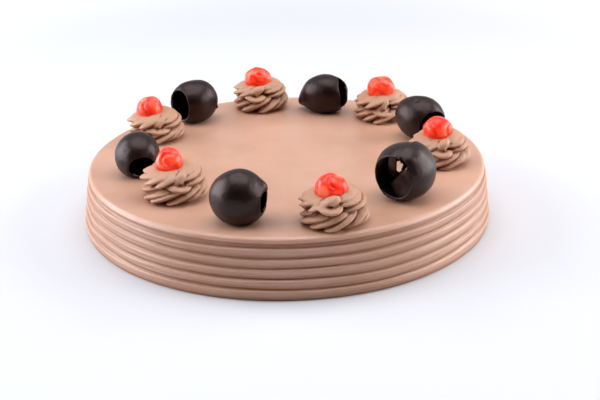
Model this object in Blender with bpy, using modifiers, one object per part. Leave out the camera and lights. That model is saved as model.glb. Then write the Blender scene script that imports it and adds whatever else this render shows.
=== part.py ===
# Round cream-coated cake with a combed side. A ring of toppings stands on its top: piped swirls
# of the same cream, each with a glace cherry, take turns with hollow rolled chocolate curls.
# Every length in the tables below is in millimetres, and the model itself is in metres.
# +Z is up. The origin is the middle of the cake's flat base.

import math

import bmesh
import bpy
from mathutils import Matrix, Vector

MM = 0.001
REST_GAP = 0.3            # clearance kept between pieces that touch

# The cake's body
BASE_RADIUS = 134.0
SHOULDER_RADIUS = 130.4   # side wall, just under the rounded top edge
RIM_HEIGHT = 37.8         # flat ring that the toppings stand on
CROWN_HEIGHT = 38.4       # the middle of the top is a little proud
CROWN_RADIUS = 70.0
EDGE_ROUNDING = 3.0       # rounding between the top and the side
EDGE_STEPS = 4
RIB_COUNT = 5             # combed ribs, one above the other
RIB_DEPTH = 1.0           # how far a rib stands out from its grooves
RIB_STEPS = 3
RIB_FULLNESS = 0.8        # under 1, a rib is fullest above its middle
CAKE_STEPS = 56

# The piped swirls
SWIRL_RADIUS = 19.4       # tips of the ridges, at either tier's widest
SWIRL_WAIST = 0.84        # radius between the tiers, as a share of the widest
SWIRL_FOOT = 0.80         # radius where the swirl meets the cake
TIER_HEIGHT = 9.0
TIER_STEPS = 3
RIDGE_COUNT = 11          # ridges left by the star nozzle
RIDGE_DEPTH = 0.15        # depth of the grooves between them, as a share of the radius
RIDGE_TURN = math.radians(115)  # how far a ridge winds round, foot to crest
TIER_SHIFT = 1.3          # the tiers are piped a little off each other
CREST_DROP = 2.6          # the crest is lower at the front than where the tail ends
TAIL_ANGLE = math.radians(40)   # side on which the tail rises
CREST_REACH = 0.2         # how far up its cherry's middle the cream comes, as a share
WELL_GAP = 0.5            # room round the cherry in its well
WELL_BRIM = 1.6           # depth of the well's sloping brim
WELL_STEPS = 3

# The cherries
CHERRY_SEGMENTS = 12
CHERRY_RINGS = 8
CHERRY_SQUARING = 0.03    # how far a cherry's outline bulges towards four corners
DENT_DEPTH = 0.10         # the dent where the stone came out, as a share of the radius
DENT_SHARPNESS = 6        # higher makes the dent narrower
DENT_STEP = 1.7           # each cherry's dent is turned this many radians on from the last
DENT_LEAN = Vector((0.0, -0.4, 0.9))

# The curls
CURL_WALL = 1.8
CURL_SEGMENTS = 16
CURL_OUTER_STEPS = 7
CURL_INNER_STEPS = 5
LAP_STEP = 0.05           # step where the rolled sheet laps over itself, as a share of its radius
NIP_SPREAD = 0.22         # how slim the pinched end is
TAPER_SPACING = 1.15      # over 1, the outer rings lie closer together towards the pinched end
BEAK_SHARPNESS = 6        # higher keeps the beak nearer to the lip

# Ring radius, angle from +X, size against the swirl above, then the cherry: its shift sideways,
# the height of its middle above the cake, and its width, depth and height.
SWIRLS = [
    (108.3, -76.3, 1.02, 0.0, 20.4, (20.4, 18.6, 18.4)),
    (99.9, -7.0, 1.00, -0.7, 22.0, (20.0, 18.4, 17.4)),
    (103.6, 49.2, 0.96, 1.0, 21.4, (20.4, 18.2, 17.6)),
    (110.2, 99.8, 1.00, -0.7, 21.6, (19.4, 18.0, 17.0)),
    (102.1, 152.5, 0.98, -2.8, 20.8, (18.6, 17.8, 18.0)),
    (92.7, -139.1, 1.04, -1.8, 22.2, (17.2, 17.0, 18.4)),
]

# Ring radius, angle from +X, half length, half height, mouth radius, length of the pinched end,
# heading of the mouth from +X, its tilt above the level, and the reach of the lip's beak.
CURLS = [
    (109.0, -105.5, 17.4, 16.6, 7.6, 0.4, -20, 0, 1.4),
    (100.9, -44.5, 20.6, 18.0, 12.4, 0.6, -140, 8, 0.8),
    (98.6, 19.8, 17.6, 14.8, 8.8, 0.6, -42, -8, 0.8),
    (97.5, 73.5, 17.2, 14.0, 8.0, 3.0, -20, 6, 2.0),
    (103.0, 128.7, 17.6, 15.8, 10.6, 1.0, -146, -4, 0.6),
    (98.6, -167.0, 15.8, 14.6, 8.0, 0.6, -74, -22, 0.6),
]

CREAM = ("cream", (0.56, 0.36, 0.26), 0.45)
CHERRY = ("cherry", (0.80, 0.03, 0.01), 0.15)
CHOCOLATE = ("chocolate", (0.018, 0.009, 0.007), 0.38)


def make_material(finish):
    name, colour, roughness = finish
    material = bpy.data.materials.new(name)
    material.use_nodes = True
    shader = material.node_tree.nodes["Principled BSDF"]
    shader.inputs["Base Color"].default_value = (*colour, 1.0)
    shader.inputs["Roughness"].default_value = roughness
    shader.inputs["Metallic"].default_value = 0.0
    return material


def add_part(name, mesh, material, collection):
    part = bpy.data.objects.new(name, mesh)
    mesh.materials.append(material)
    mesh.shade_smooth()
    mesh.set_sharp_from_angle(angle=math.radians(50))
    collection.objects.link(part)
    return part


def join_rows(form, first, second):
    """Faces between two rings of corners; a ring of one corner is a pole."""
    if len(first) == 1:
        for near, far in zip(second, second[1:] + second[:1]):
            form.faces.new((first[0], near, far))
    elif len(second) == 1:
        for near, far in zip(first, first[1:] + first[:1]):
            form.faces.new((near, second[0], far))
    else:
        for step in range(len(first)):
            after = (step + 1) % len(first)
            form.faces.new((first[step], second[step], second[after], first[after]))


def skin_rings(name, rings):
    """One closed skin over rings of points, which run from one pole to the other."""
    form = bmesh.new()
    rows = [[form.verts.new(Vector(point) * MM) for point in ring] for ring in rings]
    for first, second in zip(rows, rows[1:]):
        join_rows(form, first, second)
    bmesh.ops.triangulate(form, faces=form.faces)
    bmesh.ops.recalc_face_normals(form, faces=form.faces)
    mesh = bpy.data.meshes.new(name)
    form.to_mesh(mesh)
    form.free()
    return mesh


def place_on_cake(part, ring_radius, ring_angle):
    """Stand a part on the flat ring of the cake's top, by its lowest corner."""
    angle = math.radians(ring_angle)
    lowest = min(corner.co.z for corner in part.data.vertices)
    part.location = (
        ring_radius * math.cos(angle) * MM,
        ring_radius * math.sin(angle) * MM,
        (RIM_HEIGHT + REST_GAP) * MM - lowest,
    )


def cake_profile():
    """Half section of the cake, from the middle of its top down its outer side."""
    points = [(0.0, CROWN_HEIGHT), (CROWN_RADIUS, RIM_HEIGHT)]
    flat_radius = SHOULDER_RADIUS - EDGE_ROUNDING
    rib_top = RIM_HEIGHT - EDGE_ROUNDING
    for step in range(EDGE_STEPS + 1):
        angle = math.radians(90) * (1 - step / EDGE_STEPS)
        radius = flat_radius + EDGE_ROUNDING * math.cos(angle)
        points.append((radius, rib_top + EDGE_ROUNDING * math.sin(angle)))
    rib_height = rib_top / RIB_COUNT
    for rib in range(RIB_COUNT):
        for step in range(RIB_STEPS):
            share = (step + 0.5) / RIB_STEPS
            height = rib_top - (rib + share) * rib_height
            bulge = RIB_DEPTH * math.sin(math.pi * share ** RIB_FULLNESS)
            points.append((wall_radius(height, rib_top) + bulge, height))
        height = rib_top - (rib + 1) * rib_height
        points.append((wall_radius(height, rib_top), height))
    points.append((0.0, 0.0))
    return points


def wall_radius(height, rib_top):
    """Radius at the bottom of the grooves, which opens out towards the base."""
    return BASE_RADIUS + (SHOULDER_RADIUS - BASE_RADIUS) * height / rib_top


def make_cake(collection, material):
    corners = [(radius * MM, 0.0, height * MM) for radius, height in cake_profile()]
    edges = [(step, step + 1) for step in range(len(corners) - 1)]
    mesh = bpy.data.meshes.new("cake")
    mesh.from_pydata(corners, edges, [])
    cake = add_part("cake", mesh, material, collection)
    turn = cake.modifiers.new("Turned", "SCREW")
    turn.steps = CAKE_STEPS
    turn.render_steps = CAKE_STEPS
    turn.use_merge_vertices = True
    turn.merge_threshold = 0.00005
    turn.use_smooth_shade = True


def swirl_ring(height, radius, groove, turn, shift, drop):
    """One level of a swirl: ridges and grooves by turns, shifted sideways, lower at the front."""
    ring = []
    for step in range(2 * RIDGE_COUNT):
        angle = math.pi * step / RIDGE_COUNT + turn
        reach = radius * (1 - groove * (step % 2))
        fall = drop * (1 - math.cos(angle - TAIL_ANGLE)) / 2
        ring.append((shift + reach * math.cos(angle), reach * math.sin(angle), height - fall))
    return ring


def swirl_rings(size, cherry_shift, cherry_height, cherry_size):
    widest = SWIRL_RADIUS * size
    tier_height = TIER_HEIGHT * size
    crest = 2 * tier_height + cherry_height * CREST_REACH
    rings = [[(TIER_SHIFT, 0.0, 0.0)]]
    rings.append(swirl_ring(0.0, widest * SWIRL_FOOT, RIDGE_DEPTH / 2, 0.0, TIER_SHIFT, 0.0))
    for tier in range(2):
        low = SWIRL_FOOT if tier == 0 else SWIRL_WAIST
        for step in range(1, TIER_STEPS + 1):
            share = step / TIER_STEPS
            height = (tier + share) * tier_height
            spread = low + (SWIRL_WAIST - low) * share
            radius = widest * (spread + (1 - spread) * math.sin(math.pi * share))
            turn = RIDGE_TURN * height / crest
            shift = TIER_SHIFT * (1 - height / tier_height)
            drop = CREST_DROP * max(0.0, height / tier_height - 1)
            rings.append(swirl_ring(height, radius, RIDGE_DEPTH, turn, shift, drop))
    well_radius = cherry_size[0] / 2 + WELL_GAP
    crest_radius = (well_radius + widest * SWIRL_WAIST) / 2
    crest_drop = 2 * CREST_DROP
    rings.append(swirl_ring(crest, crest_radius, RIDGE_DEPTH / 2, RIDGE_TURN, cherry_shift, crest_drop))
    rings.append(swirl_ring(crest - WELL_BRIM, well_radius, 0.0, RIDGE_TURN, cherry_shift, CREST_DROP))
    well_middle = cherry_height - REST_GAP
    well_depth = cherry_size[2] / 2 + WELL_GAP
    for step in range(1, WELL_STEPS):
        angle = math.radians(90) * step / WELL_STEPS
        height = well_middle - well_depth * math.sin(angle)
        rings.append(swirl_ring(height, well_radius * math.cos(angle), 0.0, RIDGE_TURN, cherry_shift, 0.0))
    rings.append([(cherry_shift, 0.0, well_middle - well_depth)])
    return rings


def make_swirl(number, row, collection, cream, cherry_red):
    ring_radius, ring_angle, size, cherry_shift, cherry_height, cherry_size = row
    mesh = skin_rings(f"rosette_{number}", swirl_rings(size, cherry_shift, cherry_height, cherry_size))
    swirl = add_part(f"rosette_{number}", mesh, cream, collection)
    place_on_cake(swirl, ring_radius, ring_angle)
    cherry = make_cherry(number, cherry_size, collection, cherry_red)
    cherry.parent = swirl
    cherry.location = (cherry_shift * MM, 0.0, (cherry_height - REST_GAP) * MM)


def make_cherry(number, cherry_size, collection, material):
    """A candied cherry: a flattened ball, a little squared, with a dent where its stone came out."""
    form = bmesh.new()
    bmesh.ops.create_uvsphere(form, u_segments=CHERRY_SEGMENTS, v_segments=CHERRY_RINGS, radius=1.0)
    turn = DENT_STEP * number
    dent_side = (Vector((math.cos(turn), math.sin(turn), 0.0)) + DENT_LEAN).normalized()
    half_size = Vector(cherry_size) / 2 * MM
    for corner in form.verts:
        facing = max(0.0, corner.co.dot(dent_side))
        squared = 1 - CHERRY_SQUARING * math.cos(4 * math.atan2(corner.co.y, corner.co.x))
        corner.co *= squared * (1 - DENT_DEPTH * facing ** DENT_SHARPNESS)
        corner.co = corner.co * half_size
    mesh = bpy.data.meshes.new(f"cherry_{number}")
    form.to_mesh(mesh)
    form.free()
    return add_part(f"cherry_{number}", mesh, material, collection)


def curl_ring(along, radius, lap, beak):
    """One hoop round a curl's axis (+X), with the lap's step and the lip's beak."""
    ring = []
    for step in range(CURL_SEGMENTS):
        share = step / CURL_SEGMENTS
        angle = 2 * math.pi * share
        reach = radius * (1 - lap * share)
        forward = along + beak * max(0.0, math.sin(angle)) ** 2
        ring.append((forward, reach * math.cos(angle), reach * math.sin(angle)))
    return ring


def curl_rings(half_length, half_height, mouth, nip, beak):
    """An egg-shaped shell along +X: pinched shut behind, open in front, and hollow."""
    mouth_angle = math.asin(mouth / half_height)
    rings = [[(-half_length - nip, 0.0, 0.0)]]
    for step in range(1, CURL_OUTER_STEPS + 1):
        share = step / CURL_OUTER_STEPS
        angle = (math.pi - mouth_angle) * share ** TAPER_SPACING
        radius = half_height * math.sin(angle)
        pinch = nip * math.exp(-((radius / half_height / NIP_SPREAD) ** 2))
        lap = LAP_STEP * math.sin(angle)
        reach = beak * share ** BEAK_SHARPNESS
        rings.append(curl_ring(-half_length * math.cos(angle) - pinch, radius, lap, reach))
    hollow_length = half_length - CURL_WALL
    hollow_height = half_height - CURL_WALL
    lip_angle = math.asin((mouth - CURL_WALL / 2) / hollow_height)
    for step in range(CURL_INNER_STEPS):
        share = 1 - step / CURL_INNER_STEPS
        angle = (math.pi - lip_angle) * share
        radius = hollow_height * math.sin(angle)
        lap = LAP_STEP * math.sin(angle)
        reach = beak * share ** BEAK_SHARPNESS
        rings.append(curl_ring(-hollow_length * math.cos(angle), radius, lap, reach))
    rings.append([(-hollow_length, 0.0, 0.0)])
    return rings


def make_curl(number, row, collection, material):
    ring_radius, ring_angle, half_length, half_height, mouth, nip, heading, tilt, beak = row
    rings = curl_rings(half_length, half_height, mouth, nip, beak)
    mesh = skin_rings(f"chocolate_curl_{number}", rings)
    tilted = Matrix.Rotation(-math.radians(tilt), 4, "Y")
    mesh.transform(Matrix.Rotation(math.radians(heading), 4, "Z") @ tilted)
    curl = add_part(f"chocolate_curl_{number}", mesh, material, collection)
    place_on_cake(curl, ring_radius, ring_angle)


def main():
    for old in list(bpy.data.objects):
        bpy.data.objects.remove(old, do_unlink=True)
    collection = bpy.data.collections.new("cream_cake")
    bpy.context.scene.collection.children.link(collection)
    cream = make_material(CREAM)
    cherry_red = make_material(CHERRY)
    chocolate = make_material(CHOCOLATE)
    make_cake(collection, cream)
    for number, row in enumerate(SWIRLS, start=1):
        make_swirl(number, row, collection, cream, cherry_red)
    for number, row in enumerate(CURLS, start=1):
        make_curl(number, row, collection, chocolate)


main()
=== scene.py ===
import math
import random

import bpy
from mathutils import Matrix, Vector


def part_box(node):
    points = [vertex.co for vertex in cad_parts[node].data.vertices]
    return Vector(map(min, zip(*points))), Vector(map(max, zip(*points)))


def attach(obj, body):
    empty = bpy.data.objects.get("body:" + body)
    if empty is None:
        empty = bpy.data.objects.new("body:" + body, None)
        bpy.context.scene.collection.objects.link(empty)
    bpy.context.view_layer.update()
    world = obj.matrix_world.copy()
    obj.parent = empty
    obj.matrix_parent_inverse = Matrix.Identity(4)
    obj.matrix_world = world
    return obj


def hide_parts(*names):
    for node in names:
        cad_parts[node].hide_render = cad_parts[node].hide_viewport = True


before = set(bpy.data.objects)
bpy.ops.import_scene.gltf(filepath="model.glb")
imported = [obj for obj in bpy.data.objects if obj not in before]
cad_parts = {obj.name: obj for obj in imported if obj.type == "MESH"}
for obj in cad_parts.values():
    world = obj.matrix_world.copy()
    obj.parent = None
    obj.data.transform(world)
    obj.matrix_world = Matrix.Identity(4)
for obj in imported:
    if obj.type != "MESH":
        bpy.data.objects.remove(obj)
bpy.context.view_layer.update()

mm = 0.001
cakeLow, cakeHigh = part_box("cake")
cakeRadius = (cakeHigh.x - cakeLow.x) / 2
restGap = 0.3 * mm          # clearance under the toppings in the CAD model
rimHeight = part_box("rosette_1")[0].z - restGap
print("frame loaded, cake radius", round(cakeRadius, 4))


def deselectAll():
    if bpy.context.mode != "OBJECT":
        bpy.ops.object.mode_set(mode="OBJECT")
    for item in bpy.context.selected_objects:
        item.select_set(False)


def activate(piece):
    deselectAll()
    piece.select_set(True)
    bpy.context.view_layer.objects.active = piece


def finishModifiers(piece):
    activate(piece)
    for modifier in list(piece.modifiers):
        bpy.ops.object.modifier_apply(modifier=modifier.name)


def applyPlace(piece):
    activate(piece)
    bpy.ops.object.transform_apply(location=True, rotation=True, scale=True)


def ease(low, high, value):
    share = max(0.0, min(1.0, (value - low) / (high - low)))
    return share * share * (3 - 2 * share)


def weigh(piece, name, weightOf):
    group = piece.vertex_groups.new(name=name)
    for vertex in piece.data.vertices:
        weight = weightOf(vertex.co)
        if weight > 0:
            group.add([vertex.index], weight, "REPLACE")


def roughen(piece, name, grain, height, direction="NORMAL", group="", depth=2, seat=(0, 0, 0)):
    # displaces by cloud noise: grain is the size of its lumps along each axis, seat moves the pattern,
    # and these and the height are in mm
    guide = bpy.data.objects.new(name + "Guide", None)
    guide.scale = [size * mm for size in grain]
    guide.location = [place * mm for place in seat]
    bpy.context.scene.collection.objects.link(guide)
    bpy.context.view_layer.update()
    texture = bpy.data.textures.new(name, "CLOUDS")
    texture.noise_scale = 1.0
    texture.noise_depth = depth
    modifier = piece.modifiers.new(name, "DISPLACE")
    modifier.texture = texture
    modifier.texture_coords = "OBJECT"
    modifier.texture_coords_object = guide
    modifier.direction = direction
    modifier.strength = height * mm
    modifier.mid_level = 0.5
    modifier.vertex_group = group
    activate(piece)
    bpy.ops.object.modifier_apply(modifier=name)
    bpy.data.objects.remove(guide)


def press(piece, name, depth, weightOf, direction="NORMAL"):
    # pushes a weighted patch of the surface in by depth in mm, or out where depth is negative
    weigh(piece, name, weightOf)
    modifier = piece.modifiers.new(name, "DISPLACE")
    modifier.direction = direction
    modifier.strength = -depth * mm
    modifier.mid_level = 0.0
    modifier.vertex_group = name
    activate(piece)
    bpy.ops.object.modifier_apply(modifier=name)
    piece.vertex_groups.remove(piece.vertex_groups[name])


def storePaintedShade(piece, depthOf):
    # stores for the material how deep in a groove each vertex lies, from 0 to 1: the weight of the painted
    # shade it gets there
    marks = piece.data.attributes.new("paintedShade", "FLOAT", "POINT")
    for vertex, mark in zip(piece.data.vertices, marks.data):
        mark.value = max(0.0, min(1.0, depthOf(vertex)))


def handOver(piece, node):
    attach(piece, "root")
    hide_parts(node)


def newMaterial(name):
    material = bpy.data.materials.new(name)
    material.use_nodes = True
    return material, material.node_tree, material.node_tree.nodes["Principled BSDF"]


def link(tree, source, output, target, socket):
    tree.links.new(source.outputs[output], target.inputs[socket])


def noiseNode(tree, vector, scale, detail):
    node = tree.nodes.new("ShaderNodeTexNoise")
    node.inputs["Scale"].default_value = scale
    node.inputs["Detail"].default_value = detail
    node.inputs["Roughness"].default_value = 0.55
    tree.links.new(vector, node.inputs["Vector"])
    return node


def rampNode(tree, source, stops):
    # stops: place along the ramp and colour, from low to high
    node = tree.nodes.new("ShaderNodeValToRGB")
    node.color_ramp.elements[0].position = stops[0][0]
    node.color_ramp.elements[0].color = (*stops[0][1], 1)
    node.color_ramp.elements[1].position = stops[-1][0]
    node.color_ramp.elements[1].color = (*stops[-1][1], 1)
    for place, colour in stops[1:-1]:
        element = node.color_ramp.elements.new(place)
        element.color = (*colour, 1)
    tree.links.new(source, node.inputs["Fac"])
    return node


def stretched(tree, scale):
    # the piece's own place, with a pattern drawn out along the axes where scale is small
    place = tree.nodes.new("ShaderNodeTexCoord")
    mapping = tree.nodes.new("ShaderNodeMapping")
    mapping.inputs["Scale"].default_value = scale
    link(tree, place, "Object", mapping, "Vector")
    return mapping.outputs["Vector"]


def bumpNode(tree, height, strength, distance, before=None):
    # before is a bump to lie on top of
    node = tree.nodes.new("ShaderNodeBump")
    node.inputs["Strength"].default_value = strength
    node.inputs["Distance"].default_value = distance
    tree.links.new(height, node.inputs["Height"])
    if before:
        link(tree, before, "Normal", node, "Normal")
    return node


# light, dark: tones of the cream's patches; then the brown of the painted shade in its grooves and hollows,
# where shade falls;
# shine: how much it reflects; through: how far light comes through it; combed: with fine lines dragged
# round the cake
creams = {
    "coatCream": {
        "light": (0.575, 0.328, 0.233), "dark": (0.475, 0.250, 0.157), "shadeBrown": (0.35, 0.143, 0.070),
        "roughness": 0.38, "shine": 0.8, "through": 0.3, "combed": True},
    "pipedCream": {
        "light": (0.472, 0.257, 0.160), "dark": (0.420, 0.215, 0.128), "shadeBrown": (0.22, 0.068, 0.024),
        "roughness": 0.48, "shine": 0.45, "through": 0.12, "combed": False},
}


def makeCream(name):
    # whipped chocolate cream: satin, a little translucent, with fine pores, and painted shade of a deeper
    # brown in its grooves
    cream = creams[name]
    material, tree, shader = newMaterial(name)
    plain = stretched(tree, (1, 1, 1))
    patches = noiseNode(tree, plain, 26.0, 3.0)
    shade = patches.outputs["Fac"]
    pores = noiseNode(tree, plain, 2600.0, 2.0)
    bump = bumpNode(tree, pores.outputs["Fac"], 0.25, 0.2 * mm)
    if cream["combed"]:
        drag = noiseNode(tree, stretched(tree, (8, 8, 900)), 1.0, 4.0)
        bump = bumpNode(tree, drag.outputs["Fac"], 0.8, 0.8 * mm, bump)
        blend = tree.nodes.new("ShaderNodeMix")
        blend.inputs["Factor"].default_value = 0.5
        link(tree, patches, "Fac", blend, "A")
        link(tree, drag, "Fac", blend, "B")
        shade = blend.outputs["Result"]
    tone = rampNode(tree, shade, [(0.35, cream["dark"]), (0.65, cream["light"])])
    # painted shade: the stored weight mixes in a deep brown where shade falls in grooves and hollows
    paintedShade = tree.nodes.new("ShaderNodeAttribute")
    paintedShade.attribute_name = "paintedShade"
    colour = tree.nodes.new("ShaderNodeMix")
    colour.data_type = "RGBA"   # its colour sockets are inputs 6 and 7 and output 2
    link(tree, paintedShade, "Fac", colour, "Factor")
    link(tree, tone, "Color", colour, 6)
    colour.inputs[7].default_value = (*cream["shadeBrown"], 1)
    link(tree, colour, 2, shader, "Base Color")
    link(tree, bump, "Normal", shader, "Normal")
    shader.inputs["Roughness"].default_value = cream["roughness"]
    shader.inputs["Specular IOR Level"].default_value = cream["shine"]
    shader.inputs["Subsurface Weight"].default_value = cream["through"]
    shader.inputs["Subsurface Radius"].default_value = (1.0, 0.45, 0.25)
    shader.inputs["Subsurface Scale"].default_value = 2 * mm
    return material


chocolate = {
    "dark": (0.006, 0.0016, 0.0011),
    "bloom": (0.014, 0.0042, 0.0032),
    "sheen": (0.29, 0.42),  # roughness where it is glossiest and dullest
    "shine": 0.36,
    "tint": (1.0, 0.74, 0.72),
}


def makeChocolate():
    # tempered dark chocolate: satin sheen, faint bloom and pits
    material, tree, shader = newMaterial("darkChocolate")
    plain = stretched(tree, (1, 1, 1))
    bloom = noiseNode(tree, plain, 90.0, 4.0)
    tone = rampNode(tree, bloom.outputs["Fac"], [(0.3, chocolate["dark"]), (0.75, chocolate["bloom"])])
    link(tree, tone, "Color", shader, "Base Color")
    sheen = noiseNode(tree, plain, 160.0, 4.0)
    rough = tree.nodes.new("ShaderNodeMapRange")
    rough.inputs["To Min"].default_value, rough.inputs["To Max"].default_value = chocolate["sheen"]
    link(tree, sheen, "Fac", rough, "Value")
    link(tree, rough, "Result", shader, "Roughness")
    pits = noiseNode(tree, plain, 420.0, 3.0)
    bump = bumpNode(tree, pits.outputs["Fac"], 0.2, 0.5 * mm)
    link(tree, bump, "Normal", shader, "Normal")
    shader.inputs["Specular IOR Level"].default_value = chocolate["shine"]
    shader.inputs["Specular Tint"].default_value = (*chocolate["tint"], 1)
    return material


cherryFlesh = {
    "pale": (0.98, 0.10, 0.035),
    "body": (0.94, 0.048, 0.014),
    "seam": (0.62, 0.012, 0.004),
    "clear": (1.0, 0.20, 0.11),
    "glow": (1.0, 0.03, 0.003),     # stands in for light that comes through from behind
    "glowStrength": 0.22,
}


def makeCherry():
    # candied cherry: clear syrup skin over translucent red flesh
    material, tree, shader = newMaterial("glaceCherry")
    plain = stretched(tree, (1, 1, 1))
    flesh = noiseNode(tree, plain, 120.0, 0.6)
    tones = [(0.30, "pale"), (0.44, "body"), (0.50, "seam"), (0.56, "body"), (0.68, "clear")]
    stops = [(place, cherryFlesh[colour]) for place, colour in tones]
    tone = rampNode(tree, flesh.outputs["Fac"], stops)
    link(tree, tone, "Color", shader, "Base Color")
    wrinkles = noiseNode(tree, plain, 330.0, 2.0)
    bump = bumpNode(tree, wrinkles.outputs["Fac"], 0.4, 0.8 * mm)
    link(tree, bump, "Normal", shader, "Normal")
    shader.inputs["Roughness"].default_value = 0.3
    shader.inputs["Emission Color"].default_value = (*cherryFlesh["glow"], 1)
    shader.inputs["Emission Strength"].default_value = cherryFlesh["glowStrength"]
    shader.inputs["Specular IOR Level"].default_value = 0.35
    shader.inputs["Coat Weight"].default_value = 0.12
    shader.inputs["Coat Roughness"].default_value = 0.12
    shader.inputs["Subsurface Weight"].default_value = 0.8
    shader.inputs["Subsurface Radius"].default_value = (1.0, 0.12, 0.05)
    shader.inputs["Subsurface Scale"].default_value = 8 * mm
    return material


coatCream = makeCream("coatCream")
pipedCream = makeCream("pipedCream")
darkChocolate = makeChocolate()
glaceCherry = makeCherry()
print("materials made")


coat = {
    "steps": 320,           # divisions round the cake
    "baseRadius": cakeRadius - 0.4 * mm,
    "shoulderRadius": cakeRadius - 4.6 * mm,
    "crownHeight": cakeHigh.z,
    "crownRadius": 72 * mm, # the top swells slightly within this
    "crownSteps": 8,
    "flatSteps": 7,
    "edgeRounding": 3.0 * mm,
    "edgeSteps": 12,
    "bandHeight": 3.0 * mm, # sunk strip between the rounded edge and the ribs
    "bandDepth": 1.3 * mm,
    "bandSteps": 6,
    "ribs": 5,
    "ribStand": 1.8 * mm,   # how far a rib stands out from its grooves
    "ribSunk": 0.75,        # part of that which lies inside the wall's slope
    "ribSteps": 18,
    "ribShoulder": 0.14,    # part of a rib's height above its fullest place
    "ribFall": 1.8,         # higher keeps a rib full for longer below that place
    "fineGroove": (0.56, 0.05, 0.17),   # a finer groove on each rib: its place, width and depth
    "foot": 1.6 * mm,       # how far the base is drawn in
    "footHeight": 0.25 * mm,
    # the band and the grooves get painted shade: these say how far it turns the cream to its deep brown
    "bandShade": 0.7,        # how far the cream turns to its deep brown in the band and in the grooves
    "ribShade": 0.9,
    # unevenness: size of its lumps along each axis and its height, mm; direction, place and fineness
    "uneven": {
        "grooveWander": ((55, 55, 18), 1.3, "Z", "side", 1),
        "combDrag": ((70, 70, 1.3), 0.9, "NORMAL", "side", 2),
        "sideSwell": ((45, 45, 30), 1.0, "NORMAL", "side", 1),
        "topSwell": ((70, 70, 70), 0.5, "Z", "top", 1),
    },
}
ribTop = rimHeight - coat["edgeRounding"]
bandBottom = ribTop - coat["bandHeight"]
ribHeight = bandBottom / coat["ribs"]


def ribShape(share):
    # a rib in section, like a small rounded step: fullest near its top, then falling back
    if share < coat["ribShoulder"]:
        return math.sin(math.pi / 2 * share / coat["ribShoulder"])
    place, width, depth = coat["fineGroove"]
    fall = ((share - coat["ribShoulder"]) / (1 - coat["ribShoulder"])) ** coat["ribFall"]
    return 1 - fall - depth * math.exp(-((share - place) / width) ** 2)


def coatProfile():
    # half of the cake's outline, from the middle of the top round to the middle of the base
    points = [(0.0, coat["crownHeight"])]
    for step in range(1, coat["crownSteps"] + 1):
        radius = coat["crownRadius"] * step / coat["crownSteps"]
        drop = (coat["crownHeight"] - rimHeight) * ease(0, coat["crownRadius"], radius)
        points.append((radius, coat["crownHeight"] - drop))
    flatEdge = coat["shoulderRadius"] - coat["edgeRounding"]
    for step in range(1, coat["flatSteps"]):
        reach = (flatEdge - coat["crownRadius"]) * step / coat["flatSteps"]
        points.append((coat["crownRadius"] + reach, rimHeight))
    for step in range(coat["edgeSteps"] + 1):
        angle = math.radians(90) * (1 - step / coat["edgeSteps"])
        radius = flatEdge + coat["edgeRounding"] * math.cos(angle)
        points.append((radius, ribTop + coat["edgeRounding"] * math.sin(angle)))
    lean = (coat["baseRadius"] - coat["shoulderRadius"]) / ribTop
    for step in range(1, coat["bandSteps"]):
        height = ribTop - coat["bandHeight"] * step / coat["bandSteps"]
        points.append((coat["baseRadius"] - lean * height - coat["bandDepth"], height))
    for step in range(coat["ribs"] * coat["ribSteps"]):
        height = bandBottom - ribHeight * step / coat["ribSteps"]
        full = ribShape(step % coat["ribSteps"] / coat["ribSteps"])
        stand = coat["ribStand"] * (full - coat["ribSunk"])
        points.append((coat["baseRadius"] - lean * height + stand, height))
    points.append((coat["baseRadius"] - coat["foot"] / 2, coat["footHeight"]))
    points.append((coat["baseRadius"] - coat["foot"], 0.0))
    points.append((0.0, 0.0))
    return points


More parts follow.
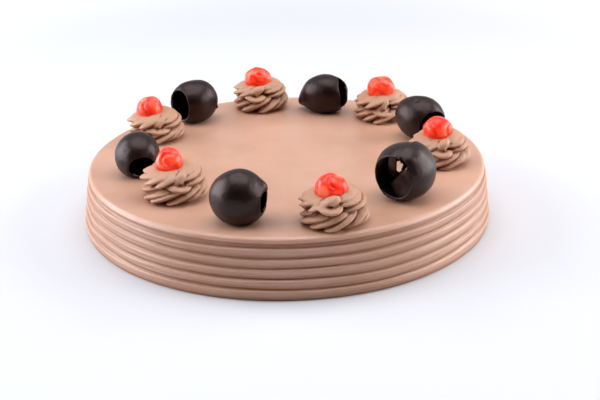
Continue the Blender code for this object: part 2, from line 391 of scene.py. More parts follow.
def makeCoat():
    deselectAll()
    bpy.ops.mesh.primitive_plane_add(size=0.01)
    piece = bpy.context.object
    piece.name = "cakeCoat"
    bpy.ops.object.mode_set(mode="EDIT")
    bpy.ops.mesh.select_all(action="SELECT")
    bpy.ops.mesh.merge(type="CENTER")
    points = coatProfile()
    bpy.ops.transform.translate(value=(points[0][0], 0, points[0][1]))
    for near, far in zip(points, points[1:]):
        step = (far[0] - near[0], 0, far[1] - near[1])
        bpy.ops.mesh.extrude_region_move(TRANSFORM_OT_translate={"value": step})
    bpy.ops.mesh.select_all(action="SELECT")
    bpy.ops.mesh.spin(steps=coat["steps"], angle=2 * math.pi, center=(0, 0, 0), axis=(0, 0, 1))
    bpy.ops.mesh.select_all(action="SELECT")
    bpy.ops.mesh.remove_doubles(threshold=0.00001)
    bpy.ops.mesh.normals_make_consistent(inside=False)
    bpy.ops.object.mode_set(mode="OBJECT")
    nearEdge = coat["shoulderRadius"] - 3 * coat["edgeRounding"]

    def ribAndBandShade(vertex):
        # painted shade: each rib is painted a deeper brown towards its foot and into the groove below it,
        # and so is the sunk band, where shade falls
        if math.hypot(vertex.co.x, vertex.co.y) < nearEdge:
            return 0.0
        if vertex.co.z > bandBottom:
            pale = ribTop + 0.4 * coat["edgeRounding"]
            brown = ribTop - 0.4 * coat["bandHeight"]
            return coat["bandShade"] * ease(pale, brown, vertex.co.z)
        share = (bandBottom - vertex.co.z) / ribHeight % 1
        return coat["ribShade"] * (ease(0.35, 0.97, share) + ease(0.09, 0.0, share))

    def onSide(place):
        # fades out at the edge of the top and at the foot, which stays flat
        outward = ease(nearEdge, coat["shoulderRadius"], math.hypot(place.x, place.y))
        upward = ease(0.0, 4 * mm, place.z) * ease(ribTop + 2 * mm, ribTop - 2 * mm, place.z)
        return outward * upward

    def onTop(place):
        return ease(ribTop, rimHeight, place.z)

    storePaintedShade(piece, ribAndBandShade)
    weigh(piece, "side", onSide)
    weigh(piece, "top", onTop)
    for name, (grain, height, direction, where, depth) in coat["uneven"].items():
        roughen(piece, name, grain, height, direction, where, depth)
    piece.vertex_groups.clear()
    activate(piece)
    bpy.ops.object.shade_smooth()
    piece.data.materials.append(coatCream)
    handOver(piece, "cake")
    print("coat made,", len(piece.data.polygons), "faces")


makeCoat()


cherry = {
    "segments": 84,
    "rings": 54,
    "lumps": (7.5, 1.5),        # size and height of the flesh's lumps, mm
    "wrinkles": (3.2, 0.4),     # and of the skin's wrinkles
    "creaseDepth": 0.75,
    "creaseWidth": 0.9,
}

# the crease where each cherry was stoned: towards which side of the cherry, and its radius in mm
creases = {
    1: ((0.35, -0.55, 0.75), 4.6),
    2: ((0.75, -0.45, 0.10), 3.8),
    3: ((-0.20, -0.60, 0.75), 4.2),
    4: ((0.30, -0.40, 0.85), 4.6),
    5: ((0.10, -0.80, 0.55), 4.4),
    6: ((0.05, -0.85, 0.45), 4.6),
}


def makeCherryPiece(number):
    low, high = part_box(f"cherry_{number}")
    middle = (low + high) / 2
    deselectAll()
    segments, rings = cherry["segments"], cherry["rings"]
    bpy.ops.mesh.primitive_uv_sphere_add(segments=segments, ring_count=rings, radius=1, location=middle)
    piece = bpy.context.object
    piece.name = f"glace_cherry_{number}"
    piece.scale = (high - low) / 2
    applyPlace(piece)
    grain, height = cherry["lumps"]
    roughen(piece, "fleshLumps", [grain] * 3, height, depth=0, seat=(13 * number, 7 * number, 0))
    grain, height = cherry["wrinkles"]
    roughen(piece, "skinWrinkles", [grain] * 3, height, depth=1, seat=(11 * number, 0, 0))
    towards, radius = creases[number]
    towards = Vector(towards).normalized()
    spot = middle + towards * (high.z - low.z) / 2
    edge = towards.cross(Vector((0.3, 0.2, 1))).normalized()

    def onCrease(place):
        # an open ring, deepest on one side
        away = (place - spot).length / mm
        turn = (place - spot).normalized().dot(edge)
        return math.exp(-((away - radius) / cherry["creaseWidth"]) ** 2) * ease(-0.7, 0.4, turn)

    press(piece, "crease", cherry["creaseDepth"], onCrease)
    activate(piece)
    bpy.ops.object.shade_smooth()
    piece.data.materials.append(glaceCherry)
    handOver(piece, f"cherry_{number}")
    return piece


cherries = {number: makeCherryPiece(number) for number in creases}
print("cherries made")


swirl = {
    "depth": 4.7,           # half depth of a ridge of cream, mm
    "thickness": 2.45,      # half its thickness at the root
    "thinning": 0.4,        # part of that lost at its outer edge
    "sectionPoints": 20,
    "lowerStep": 38,        # degrees from ridge to ridge
    "upperStep": 38,
    "lobe": (-70, 40, 50),  # turns where the lobe's long ridges begin, and end below and above
    "foldRoom": 46,         # degrees kept clear before the folded ridge
    "crest": (2.6, 40),     # how much higher the cream stands behind the cherry, mm, and the turn there
    "startChance": (-5, 5), # how unlike its neighbours a ridge may be: where it starts, in degrees
    "spreadChance": (0.85, 1.2),        # how far it winds, as a factor
    "swellChance": (0.88, 1.12),        # how thick it is, as a factor
    "liftChance": (-0.5, 0.5),          # and how high it lies, mm
    "coreSteps": 40,
    "voxel": 0.45 * mm,
    "softening": 2,
    "pull": (6, 0.7),       # size and height of the cream's unevenness, mm
    "cherryGap": 0.12 * mm,
    # the grooves that the smoothing finds get painted shade, full at the hollow depth below
    "hollowReach": 90,      # rounds of smoothing that find the grooves
    "hollowDepth": 0.16 * mm,
}

# size; turn of the first lower ridge; turn, spread and drop of the folded ridge at the front; width of
# the lobe behind the cherry
swirls = {
    1: {"size": 1.02, "first": -172, "fold": (-84, 0.85, 0.3), "lobe": 1.07},
    2: {"size": 1.00, "first": -166, "fold": (-78, 0.75, -2.2), "lobe": 1.0},
    3: {"size": 0.96, "first": -178, "fold": (-76, 0.70, -5.0), "lobe": 1.15},
    4: {"size": 1.00, "first": -168, "fold": (-90, 0.90, -1.8), "lobe": 1.03},
    5: {"size": 0.98, "first": -176, "fold": (-62, 1.10, -3.2), "lobe": 1.0},
    6: {"size": 1.04, "first": -170, "fold": (-60, 0.85, -2.6), "lobe": 1.0},
}

# knots along a ridge: turn in degrees, distance out and height in mm, swell
lowerRidge = [(-5, 13.6, 0.6, 0.5), (0, 15.6, 1.0, 0.9), (16, 15.6, 3.6, 1.05), (40, 15.0, 6.6, 1.05),
              (64, 14.0, 9.2, 0.9), (84, 11.4, 10.6, 0.3)]
upperRidge = [(-5, 13.8, 11.0, 0.5), (0, 15.4, 12.2, 0.8), (16, 12.8, 14.5, 1.0), (38, 9.9, 15.7, 1.05),
              (68, 8.4, 16.2, 0.9), (96, 7.4, 16.3, 0.3)]
foldedRidge = [(30, 9.6, 18.0, 0.3), (16, 11.0, 17.6, 1.0), (-4, 11.6, 16.9, 1.1), (-20, 13.0, 15.2, 1.1),
               (-19, 15.0, 12.6, 1.0), (-3, 15.6, 11.4, 1.05), (12, 15.8, 12.2, 0.9), (24, 14.0, 13.6, 0.4)]
foldFill = [(-10, 9.2, 15.4, 0.4), (2, 10.6, 14.6, 0.9), (12, 9.6, 14.2, 0.4)]    # cream inside the fold
lobeRidges = {
    "lower": [
        [(-64, 14.0, 1.6, 0.3), (-54, 15.8, 2.8, 0.9), (-34, 15.0, 6.4, 1.15), (-8, 15.4, 8.8, 1.1),
         (22, 14.6, 11.4, 0.8), (40, 12.0, 12.0, 0.3)],
        [(-40, 14.6, 1.8, 0.3), (-28, 16.4, 2.8, 0.8), (-6, 16.0, 5.4, 1.1), (22, 15.2, 8.8, 1.05),
         (50, 13.6, 11.4, 0.7), (64, 11.6, 12.0, 0.3)],
        [(-10, 14.6, 0.8, 0.3), (6, 16.6, 2.2, 0.8), (28, 16.0, 5.2, 1.0), (54, 14.8, 8.6, 0.9),
         (76, 12.0, 10.4, 0.3)],
    ],
    "upper": [
        [(-72, 11.2, 16.0, 0.3), (-54, 10.8, 16.6, 1.0), (-22, 11.2, 17.4, 1.05), (14, 11.4, 18.4, 1.1),
         (50, 10.8, 19.0, 1.05), (88, 9.8, 18.4, 0.6)],
        [(-64, 13.4, 14.2, 0.3), (-48, 13.8, 14.8, 1.0), (-22, 13.6, 15.4, 1.15), (14, 13.8, 16.8, 1.2),
         (48, 12.8, 17.8, 1.1), (86, 11.4, 17.6, 0.6)],
        [(-54, 14.4, 11.2, 0.3), (-40, 16.2, 12.0, 0.9), (-16, 16.2, 12.8, 1.15), (14, 16.2, 14.2, 1.2),
         (46, 15.0, 15.6, 1.05), (80, 13.0, 16.0, 0.5)],
    ],
}
tiers = {
    "lower": {"shift": 1.3, "ridge": lowerRidge},
    "upper": {"shift": -1.2, "ridge": upperRidge},
}
# outline of the cream inside the ridges: distance out and height, mm
core = [(0, 0), (11.0, 0), (12.0, 3), (12.0, 8), (11.6, 11.5), (10.6, 14), (6.5, 15.0), (0, 15.0)]


def ridgeSection():
    # a drop shape: thick where it joins the swirl, thin at its outer edge
    curve = bpy.data.curves.new("ridgeSection", "CURVE")
    curve.dimensions = "2D"
    spline = curve.splines.new("POLY")
    spline.points.add(swirl["sectionPoints"] - 1)
    for corner, point in enumerate(spline.points):
        angle = 2 * math.pi * corner / swirl["sectionPoints"]
        thin = 1 - swirl["thinning"] * math.cos(angle)
        outward = swirl["depth"] * math.cos(angle)
        point.co = (outward * mm, swirl["thickness"] * thin * math.sin(angle) * mm, 0, 1)
    spline.use_cyclic_u = True
    piece = bpy.data.objects.new("ridgeSection", curve)
    bpy.context.scene.collection.objects.link(piece)
    return piece


def addRidge(curve, knots, size, shift):
    spline = curve.splines.new("NURBS")
    spline.points.add(len(knots) - 1)
    for point, (angle, reach, height, swell) in zip(spline.points, knots):
        turn = math.radians(angle)
        across = shift + reach * math.cos(turn)
        point.co = (across * size * mm, reach * math.sin(turn) * size * mm, height * size * mm, 1)
        point.radius = swell * size
    spline.order_u = 4
    spline.use_endpoint_u = True
    spline.resolution_u = 6


def crestRise(angle):
    # the cream stands higher behind the cherry on the right
    rise, turn = swirl["crest"]
    return rise * (1 + math.cos(math.radians(angle - turn))) / 2


def turned(ridge, start, chance):
    # a ridge that starts at the given turn, a little unlike its neighbours
    spread = chance.uniform(*swirl["spreadChance"])
    swell = chance.uniform(*swirl["swellChance"])
    lift = chance.uniform(*swirl["liftChance"])
    knots = []
    for turn, reach, height, thick in ridge:
        angle = start + turn * spread
        rise = crestRise(angle) * ease(12, 16, height) * 0.8
        knots.append((angle, reach, height + lift + rise, thick * swell))
    return knots


def widened(ridge, lobe):
    # a long ridge of the lobe, further out where the lobe is wider
    knots = []
    for angle, reach, height, thick in ridge:
        share = max(0.0, math.cos(math.radians(angle - 10)))
        knots.append((angle, reach * (1 + (lobe - 1) * share), height, thick))
    return knots


def folded(ridge, fold, spread, drop):
    # the ridge's start stays up under the cherry, and the rest hangs by the drop
    knots = []
    for step, (turn, reach, height, thick) in enumerate(ridge):
        knots.append((fold + turn * spread, reach, height + drop * min(1, step / 3), thick))
    return knots


def ridgeStarts(shape, tier):
    # the lobe's own long ridges fill the right side, so the short ones keep clear of it
    lobeStart, lowerEnd, upperEnd = swirl["lobe"]
    if tier == "lower":
        count = int((lobeStart - shape["first"]) / swirl["lowerStep"]) + 1
        front = [shape["first"] + swirl["lowerStep"] * step for step in range(count)]
        back = [lowerEnd + swirl["lowerStep"] * step for step in range(4)]
    else:
        last = shape["fold"][0] - swirl["foldRoom"]
        front = [last - swirl["upperStep"] * step for step in range(4)]
        back = [upperEnd + swirl["upperStep"] * step for step in range(3)]
    return front + back


def pipeRidges(shape, chance, section):
    curve = bpy.data.curves.new("ridges", "CURVE")
    curve.dimensions = "3D"
    curve.twist_mode = "Z_UP"
    curve.bevel_mode = "OBJECT"
    curve.bevel_object = section
    curve.use_fill_caps = True
    for tier, parts in tiers.items():
        for start in ridgeStarts(shape, tier):
            knots = turned(parts["ridge"], start + chance.uniform(*swirl["startChance"]), chance)
            addRidge(curve, knots, shape["size"], parts["shift"])
        for ridge in lobeRidges[tier]:
            addRidge(curve, widened(ridge, shape["lobe"]), shape["size"], parts["shift"])
    for ridge in (foldedRidge, foldFill):
        addRidge(curve, folded(ridge, *shape["fold"]), shape["size"], tiers["upper"]["shift"])
    return curve


def makeCore(size):
    deselectAll()
    bpy.ops.mesh.primitive_plane_add(size=0.01)
    piece = bpy.context.object
    bpy.ops.object.mode_set(mode="EDIT")
    bpy.ops.mesh.select_all(action="SELECT")
    bpy.ops.mesh.merge(type="CENTER")
    for near, far in zip(core, core[1:]):
        step = ((far[0] - near[0]) * size * mm, 0, (far[1] - near[1]) * size * mm)
        bpy.ops.mesh.extrude_region_move(TRANSFORM_OT_translate={"value": step})
    bpy.ops.mesh.select_all(action="SELECT")
    bpy.ops.mesh.spin(steps=swirl["coreSteps"], angle=2 * math.pi, center=(0, 0, 0), axis=(0, 0, 1))
    bpy.ops.mesh.select_all(action="SELECT")
    bpy.ops.mesh.remove_doubles(threshold=0.00001)
    bpy.ops.mesh.normals_make_consistent(inside=False)
    bpy.ops.object.mode_set(mode="OBJECT")
    return piece


def shadeHollows(piece):
    # a vertex lies in a groove where its smoothed surroundings stand out above it, and there it gets
    # painted shade, darker the deeper it lies
    activate(piece)
    bpy.ops.object.duplicate()
    smoothed = bpy.context.object
    even = smoothed.modifiers.new("even", "SMOOTH")
    even.factor = 0.5
    even.iterations = swirl["hollowReach"]
    finishModifiers(smoothed)
    outer = [vertex.co.copy() for vertex in smoothed.data.vertices]
    bpy.data.objects.remove(smoothed)
    span = swirl["hollowDepth"]
    storePaintedShade(piece, lambda vertex: (outer[vertex.index] - vertex.co).dot(vertex.normal) / span)
    activate(piece)


def makeSwirl(number, section):
    shape = swirls[number]
    low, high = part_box(f"rosette_{number}")
    seat = Vector(((low.x + high.x) / 2, (low.y + high.y) / 2, rimHeight))
    curve = pipeRidges(shape, random.Random(number), section)
    piece = bpy.data.objects.new(f"piped_swirl_{number}", curve)
    bpy.context.scene.collection.objects.link(piece)
    activate(piece)
    bpy.ops.object.convert(target="MESH")
    middle = makeCore(shape["size"])
    activate(piece)
    middle.select_set(True)
    bpy.ops.object.join()
    remesh = piece.modifiers.new("oneSkin", "REMESH")
    remesh.mode = "VOXEL"
    remesh.voxel_size = swirl["voxel"]
    soften = piece.modifiers.new("soften", "SMOOTH")
    soften.factor = 0.5
    soften.iterations = swirl["softening"]
    finishModifiers(piece)
    piece.location = seat
    applyPlace(piece)
    bpy.ops.object.mode_set(mode="EDIT")
    bpy.ops.mesh.select_all(action="SELECT")
    bpy.ops.mesh.bisect(plane_co=seat, plane_no=(0, 0, 1), use_fill=True, clear_inner=True)
    bpy.ops.object.mode_set(mode="OBJECT")
    grain, height = swirl["pull"]
    roughen(piece, "creamPull", [grain] * 3, height, seat=(17 * number, 0, 0))
    wrap = piece.modifiers.new("cherrySeat", "SHRINKWRAP")
    wrap.target = cherries[number]
    wrap.wrap_method = "NEAREST_SURFACEPOINT"
    wrap.wrap_mode = "OUTSIDE"
    wrap.offset = swirl["cherryGap"]
    finishModifiers(piece)
    shadeHollows(piece)
    bpy.ops.object.shade_smooth()
    piece.data.materials.append(pipedCream)
    handOver(piece, f"rosette_{number}")
    print(piece.name, len(piece.data.polygons), "faces")


section = ridgeSection()
for number in swirls:
    makeSwirl(number, section)
bpy.data.objects.remove(section)
print("swirls piped")


curlForm = {
    "rows": 22,             # rings from the closed end to the mouth
    "stepAngle": 9.0,       # degrees rolled up at a time
    "roll": 420,            # how far the sheet goes round, in degrees
    "wall": 1.4 * mm,
    "sink": 0.7,            # how far a curl has sunk in, mm
    "tuck": (0.10, 0.06),   # part of the radius by which the sheet dips under its lap, and again later
    "swell": (13, 1.0),     # size and height of its lumps, mm
    "pits": (3.5, 0.25),    # and of the pits in it
    "lapWall": 1.1 * mm,
    "lapBulge": (1.8, 7),   # how far a loose lap bulges and how wide the bulge is, mm
}

# half: length behind and before the middle, and half height, mm; heading, tilt: of the mouth, in degrees;
# seam: where the outer edge lies round the axis; nip: how long and how wide the pinched end is;
# mouth: the cut's distance along the axis, how far it leans to the side, and up;
# trim: the same for a shorter cut of the near side; sag: how much the lower half squares off;
# shift: how far it lies from the middle of its CAD box, to the right and back;
# dents: patches pressed in along the normal (place, reach, depth); drops: patches moved down;
# tear: a torn hole (place, reach); laps: loose laps of the sheet inside it, by their corners
curls = {
    1: {"half": (17.6, 17.4, 16.2), "heading": -20, "tilt": 0, "seam": 130, "sag": 0.28,
        "nip": (0.0, 0.3), "mouth": (15.9, 0.0, -0.04), "shift": (1.1, 2.9),
        "dents": [((15.8, 2.5, 8.0), 6.0, -1.7), ((13.0, -8.5, -3.0), 2.4, 0.6),
                  ((11.0, -10.5, 1.0), 2.0, 0.5), ((2.0, -5.0, 15.4), 3.0, 0.4)]},
    2: {"half": (20.4, 20.4, 18.1), "heading": -124, "tilt": -5, "seam": 8, "roll": 375, "sag": 0.14,
        "nip": (0.6, 0.22), "mouth": (13.4, -0.08, 0.12),
        "dents": [((9.0, 8.0, 12.0), 4.0, -0.7)],
        "tear": ((-13.0, -13.0, -5.6), 3.3),
        "laps": [((12.5, 9.0, 9.6), (6.0, -8.2, -8.2), (10.0, -1.0, -16.5), (11.5, 13.4, -6.5)),
                 ((9.0, -5.0, 12.6), (11.0, 1.0, 14.4), (4.5, -2.6, -3.5), (4.5, -8.0, -2.3))]},
    3: {"half": (19.6, 17.6, 14.8), "heading": -42, "tilt": -8, "seam": 130, "sag": 0.25,
        "nip": (0.6, 0.22), "mouth": (13.0, -0.4, -0.05),
        "dents": [((-2.0, -5.0, 13.6), 3.0, 0.4), ((2.5, -2.0, 14.4), 3.4, 0.35)]},
    4: {"half": (17.2, 18.4, 14.0), "heading": -20, "tilt": 6, "seam": 130, "sag": 0.5,
        "nip": (4.0, 0.36), "mouth": (16.0, -0.10, 0.05), "trim": (11.9, 0.36, 0.0), "shift": (2.8, 1.4),
        "drops": [((-19.0, 0.0, 0.0), 9.0, 3.6)]},
    5: {"half": (17.6, 17.6, 15.1), "heading": -148, "tilt": -4, "seam": -130, "sag": 0.3,
        "nip": (0.0, 0.22), "mouth": (12.5, 0.17, 0.09), "shift": (-0.9, 0.9),
        "dents": [((-13.6, 9.1, -5.0), 1.4, -1.8)]},
    6: {"half": (16.0, 16.0, 13.9), "heading": -74, "tilt": -20, "seam": 180, "sag": 0.25, "wide": 1.06,
        "nip": (0.0, 0.22), "mouth": (12.7, 0.0, 0.0), "shift": (0.6, 0.6),
        "dents": [((11.5, 8.0, 8.0), 3.4, -0.9)]},
}


def rollSheet(shape):
    # half of an egg's outline is extruded round the axis, a little at a time, as the sheet rolls up
    behind, before, height = (value * mm for value in shape["half"])
    nipLength, nipWidth = shape["nip"]
    points = []
    for row in range(curlForm["rows"] + 1):
        angle = math.radians(3 + 161 * row / curlForm["rows"]) if row else 0.0
        nip = nipLength * mm * math.exp(-((math.sin(angle) / nipWidth) ** 2))
        length = behind if math.cos(angle) > 0 else before
        points.append((-length * math.cos(angle) - nip, height * math.sin(angle)))
    deselectAll()
    bpy.ops.mesh.primitive_plane_add(size=0.01)
    piece = bpy.context.object
    bpy.ops.object.mode_set(mode="EDIT")
    bpy.ops.mesh.select_all(action="SELECT")
    bpy.ops.mesh.merge(type="CENTER")
    bpy.ops.transform.translate(value=(points[0][0], 0, points[0][1]))
    for near, far in zip(points, points[1:]):
        step = (far[0] - near[0], 0, far[1] - near[1])
        bpy.ops.mesh.extrude_region_move(TRANSFORM_OT_translate={"value": step})
    bpy.ops.mesh.select_all(action="SELECT")
    turn = math.radians(curlForm["stepAngle"])
    size = 1.0
    tuck, further = curlForm["tuck"]
    for step in range(1, int(shape.get("roll", curlForm["roll"]) / curlForm["stepAngle"]) + 1):
        rolled = step * curlForm["stepAngle"]
        target = 1.0 - tuck * ease(275, 365, rolled) - further * ease(365, 450, rolled)
        bpy.ops.mesh.extrude_region_move()
        bpy.ops.transform.rotate(value=turn, orient_axis="X", center_override=(0, 0, 0))
        bpy.ops.transform.resize(value=(1, target / size, target / size), center_override=(0, 0, 0))
        size = target
    bpy.ops.mesh.select_all(action="SELECT")
    bpy.ops.mesh.remove_doubles(threshold=0.00002)
    return piece


def addLap(piece, corners):
    deselectAll()
    bpy.ops.mesh.primitive_plane_add(size=1)
    lap = bpy.context.object
    for vertex, corner in zip((lap.data.vertices[index] for index in (0, 1, 3, 2)), corners):
        vertex.co = Vector(corner) * mm
    bpy.ops.object.mode_set(mode="EDIT")
    bpy.ops.mesh.select_all(action="SELECT")
    bpy.ops.mesh.subdivide(number_cuts=7)
    bpy.ops.object.mode_set(mode="OBJECT")
    middle = sum((Vector(corner) for corner in corners), Vector()) / 4 * mm
    bulge, width = curlForm["lapBulge"]
    press(lap, "bulge", bulge, lambda spot: math.exp(-((spot - middle).length / (width * mm)) ** 2))
    wall = lap.modifiers.new("wall", "SOLIDIFY")
    wall.thickness = curlForm["lapWall"]
    wall.offset = 0
    finishModifiers(lap)
    activate(piece)
    lap.select_set(True)
    bpy.ops.object.join()


def settle(piece, height, sag):
    # the lower half squares off where the curl has settled on the cream; height is in mm
    def sink(share):
        return 1 - (1 - share) ** (1 + sag) - share

    def sunk(spot):
        share = max(0.0, min(1.0, -spot.z / (height * mm)))
        return sink(share) / most

    most = max(sink(step / 50) for step in range(50))
    press(piece, "settle", most * height, sunk, "Z")


def patch(place, reach):
    # weight that is full at a place and fades out within the reach, both in mm
    middle = Vector(place) * mm
    return lambda spot: math.exp(-2 * ((spot - middle).length / (reach * mm)) ** 2)


def trimNearSide(piece, along, sideLean, upLean):
    # the side towards the front is cut shorter than the far side
    activate(piece)
    bpy.ops.object.mode_set(mode="EDIT")
    bpy.ops.mesh.select_mode(type="FACE")
    bpy.ops.mesh.select_all(action="DESELECT")
    bpy.ops.object.mode_set(mode="OBJECT")
    for face in piece.data.polygons:
        face.select = face.center.y < 3 * mm
    bpy.ops.object.mode_set(mode="EDIT")
    bpy.ops.mesh.bisect(plane_co=(along * mm, 0, 0), plane_no=(1, sideLean, upLean), clear_outer=True)
    bpy.ops.mesh.select_mode(type="VERT")
    bpy.ops.object.mode_set(mode="OBJECT")


def tearHole(piece, place, reach):
    activate(piece)
    bpy.ops.object.mode_set(mode="EDIT")
    bpy.ops.mesh.select_mode(type="FACE")
    bpy.ops.mesh.select_all(action="DESELECT")
    bpy.ops.object.mode_set(mode="OBJECT")
    middle = Vector(place) * mm
    for face in piece.data.polygons:
        face.select = (face.center - middle).length < reach * mm
    bpy.ops.object.mode_set(mode="EDIT")
    bpy.ops.mesh.delete(type="FACE")
    bpy.ops.mesh.select_mode(type="VERT")
    bpy.ops.object.mode_set(mode="OBJECT")


def makeCurl(number):
    shape = curls[number]
    piece = rollSheet(shape)
    piece.name = f"rolled_curl_{number}"
    bpy.ops.mesh.select_all(action="SELECT")
    bpy.ops.transform.rotate(value=math.radians(shape["seam"]), orient_axis="X", center_override=(0, 0, 0))
    bpy.ops.mesh.select_all(action="SELECT")
    bpy.ops.mesh.normals_make_consistent(inside=False)
    bpy.ops.object.mode_set(mode="OBJECT")
    face = max(piece.data.polygons, key=lambda face: face.center.z)
    if face.normal.z < 0:
        piece.data.flip_normals()
    fine = piece.modifiers.new("fine", "SUBSURF")
    fine.levels = fine.render_levels = 1
    finishModifiers(piece)
    along, sideLean, upLean = shape["mouth"]
    bpy.ops.object.mode_set(mode="EDIT")
    bpy.ops.mesh.select_all(action="SELECT")
    bpy.ops.mesh.bisect(plane_co=(along * mm, 0, 0), plane_no=(1, sideLean, upLean), clear_outer=True)
    bpy.ops.mesh.select_all(action="SELECT")
    bpy.ops.mesh.remove_doubles(threshold=0.15 * mm)
    bpy.ops.object.mode_set(mode="OBJECT")
    if "trim" in shape:
        trimNearSide(piece, *shape["trim"])
    if "tear" in shape:
        tearHole(piece, *shape["tear"])
    wall = piece.modifiers.new("wall", "SOLIDIFY")
    wall.thickness = curlForm["wall"]
    wall.offset = -1
    smooth = piece.modifiers.new("smooth", "SUBSURF")
    smooth.levels = smooth.render_levels = 1
    finishModifiers(piece)
    for corners in shape.get("laps", []):
        addLap(piece, corners)
    for place, reach, depth in shape.get("dents", []):
        press(piece, "dent", depth, patch(place, reach))
    for place, reach, depth in shape.get("drops", []):
        press(piece, "drop", depth, patch(place, reach), "Z")
    grain, height = curlForm["swell"]
    roughen(piece, "curlSwell", [grain] * 3, height, depth=0, seat=(20 * number, 0, 0))
    grain, height = curlForm["pits"]
    roughen(piece, "curlPits", [grain] * 3, height, seat=(0, 20 * number, 0))
    piece.scale.y = shape.get("wide", 1.0)
    piece.rotation_euler = (0, -math.radians(shape["tilt"]), math.radians(shape["heading"]))
    applyPlace(piece)
    settle(piece, shape["half"][2], shape["sag"])
    low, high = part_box(f"chocolate_curl_{number}")
    right, back = shape.get("shift", (0, 0))
    height = rimHeight + (shape["half"][2] - curlForm["sink"]) * mm
    piece.location = ((low.x + high.x) / 2 + right * mm, (low.y + high.y) / 2 + back * mm, height)
    applyPlace(piece)
    bpy.ops.object.shade_smooth()
    piece.data.materials.append(darkChocolate)
    handOver(piece, f"chocolate_curl_{number}")
    print(piece.name, len(piece.data.polygons), "faces")


for number in curls:
    makeCurl(number)
print("curls rolled")


stage = {
    "floorSize": 8.0,       # m
    "paleness": (0.60, 0.60, 0.615),
    "fade": (0.45, 1.1),    # from where to where the floor begins to glow, m from the cake's middle
    "glow": 0.9,
    "glowColour": (0.97, 0.98, 1.0),
}
# towards: the bright side of the tent; span: how far round it fades; glow: its strength there;
# backdrop: its strength where the camera sees it
sky = {"towards": (0.0, 0.85, 0.55), "span": (-0.25, 0.75), "glow": (0.0, 0.5), "backdrop": 0.97,
       "colour": (0.95, 0.97, 1.02)}
# place and size in m, power in W
panels = {
    "overhead": {"place": (0, 0.06, 0.95), "size": (1.0, 0.85), "power": 7.8, "colour": (0.98, 1.0, 1.05)},
    "left": {"place": (-1.1, 0.10, 0.42), "size": (1.2, 1.0), "power": 21, "colour": (0.97, 1.0, 1.07)},
    "right": {"place": (1.1, 0.10, 0.42), "size": (1.2, 1.0), "power": 20, "colour": (1.0, 1.0, 1.02)},
}
panelAim = (0, 0, 0.02)


def makeFloor():
    deselectAll()
    bpy.ops.mesh.primitive_plane_add(size=stage["floorSize"])
    floor = bpy.context.object
    floor.name = "floor"
    material, tree, shader = newMaterial("paleFloor")
    shader.inputs["Base Color"].default_value = (*stage["paleness"], 1)
    shader.inputs["Roughness"].default_value = 0.8
    shader.inputs["Specular IOR Level"].default_value = 0.1
    # far from the cake the floor glows into the tent, as a paper sweep does
    place = tree.nodes.new("ShaderNodeTexCoord")
    away = tree.nodes.new("ShaderNodeVectorMath")
    away.operation = "LENGTH"
    link(tree, place, "Object", away, 0)
    sweep = tree.nodes.new("ShaderNodeMapRange")
    sweep.interpolation_type = "SMOOTHSTEP"
    sweep.inputs["From Min"].default_value, sweep.inputs["From Max"].default_value = stage["fade"]
    sweep.inputs["To Max"].default_value = stage["glow"]
    link(tree, away, "Value", sweep, "Value")
    link(tree, sweep, "Result", shader, "Emission Strength")
    shader.inputs["Emission Color"].default_value = (*stage["glowColour"], 1)
    floor.data.materials.append(material)


def addPanel(side):
    shape = panels[side]
    name = side + "Panel"
    lamp = bpy.data.lights.new(name, "AREA")
    lamp.shape = "RECTANGLE"
    lamp.size, lamp.size_y = shape["size"]
    lamp.energy = shape["power"]
    lamp.color = shape["colour"]
    panel = bpy.data.objects.new(name, lamp)
    panel.location = shape["place"]
    panel.rotation_euler = (Vector(panelAim) - Vector(shape["place"])).to_track_quat("-Z", "Y").to_euler()
    bpy.context.scene.collection.objects.link(panel)


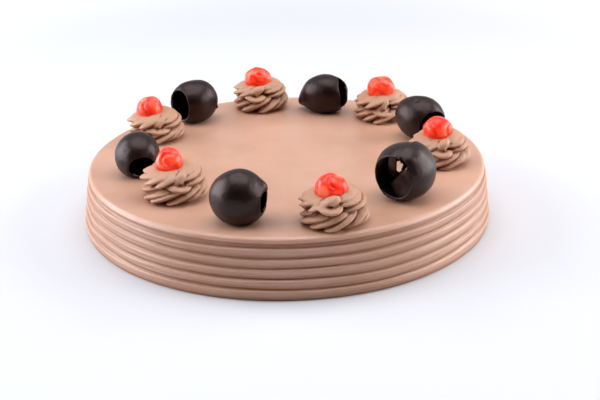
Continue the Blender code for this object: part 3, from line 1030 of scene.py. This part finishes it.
def makeSky():
    # a light tent: bright behind and to the sides, dark where the camera stands
    world = bpy.data.worlds.new("studio")
    bpy.context.scene.world = world
    world.use_nodes = True
    tree = world.node_tree
    shade = tree.nodes["Background"]
    place = tree.nodes.new("ShaderNodeTexCoord")
    away = tree.nodes.new("ShaderNodeVectorMath")
    away.operation = "DOT_PRODUCT"
    away.inputs[1].default_value = sky["towards"]
    link(tree, place, "Generated", away, 0)
    glow = tree.nodes.new("ShaderNodeMapRange")
    glow.interpolation_type = "SMOOTHSTEP"
    glow.inputs["From Min"].default_value, glow.inputs["From Max"].default_value = sky["span"]
    glow.inputs["To Min"].default_value, glow.inputs["To Max"].default_value = sky["glow"]
    link(tree, away, "Value", glow, "Value")
    path = tree.nodes.new("ShaderNodeLightPath")
    seen = tree.nodes.new("ShaderNodeMix")
    seen.data_type = "FLOAT"
    link(tree, path, "Is Camera Ray", seen, "Factor")
    link(tree, glow, "Result", seen, "A")
    seen.inputs["B"].default_value = sky["backdrop"]
    link(tree, seen, "Result", shade, "Strength")
    shade.inputs["Color"].default_value = (*sky["colour"], 1)


makeFloor()
makeSky()
for side in panels:
    addPanel(side)
print("floor and lights set")

view = {
    "distance": 6.471 * cakeRadius,
    "elevation": 22.01,     # degrees above the level
    "roll": -1.4,
    "lens": 78.32,          # mm, on a sensor 36 mm wide
    "aimHeight": 19.03 * mm,
    "shift": (0.0220, -0.0263),
}


def makeCamera():
    lift = math.radians(view["elevation"])
    back = Vector((0, -math.cos(lift), math.sin(lift)))
    across = Vector((1, 0, 0))
    upward = back.cross(across)
    roll = math.radians(view["roll"])
    side = across * math.cos(roll) + upward * math.sin(roll)
    top = upward * math.cos(roll) - across * math.sin(roll)
    placed = Matrix((side, top, back)).transposed().to_4x4()
    placed.translation = back * view["distance"] + Vector((0, 0, view["aimHeight"]))
    lens = bpy.data.cameras.new("camera")
    lens.sensor_width = 36
    lens.lens = view["lens"]
    lens.shift_x, lens.shift_y = view["shift"]
    camera = bpy.data.objects.new("camera", lens)
    camera.matrix_world = placed
    bpy.context.scene.collection.objects.link(camera)
    bpy.context.scene.camera = camera


makeCamera()
bpy.context.scene.view_settings.view_transform = "Standard"

print("scene ready")
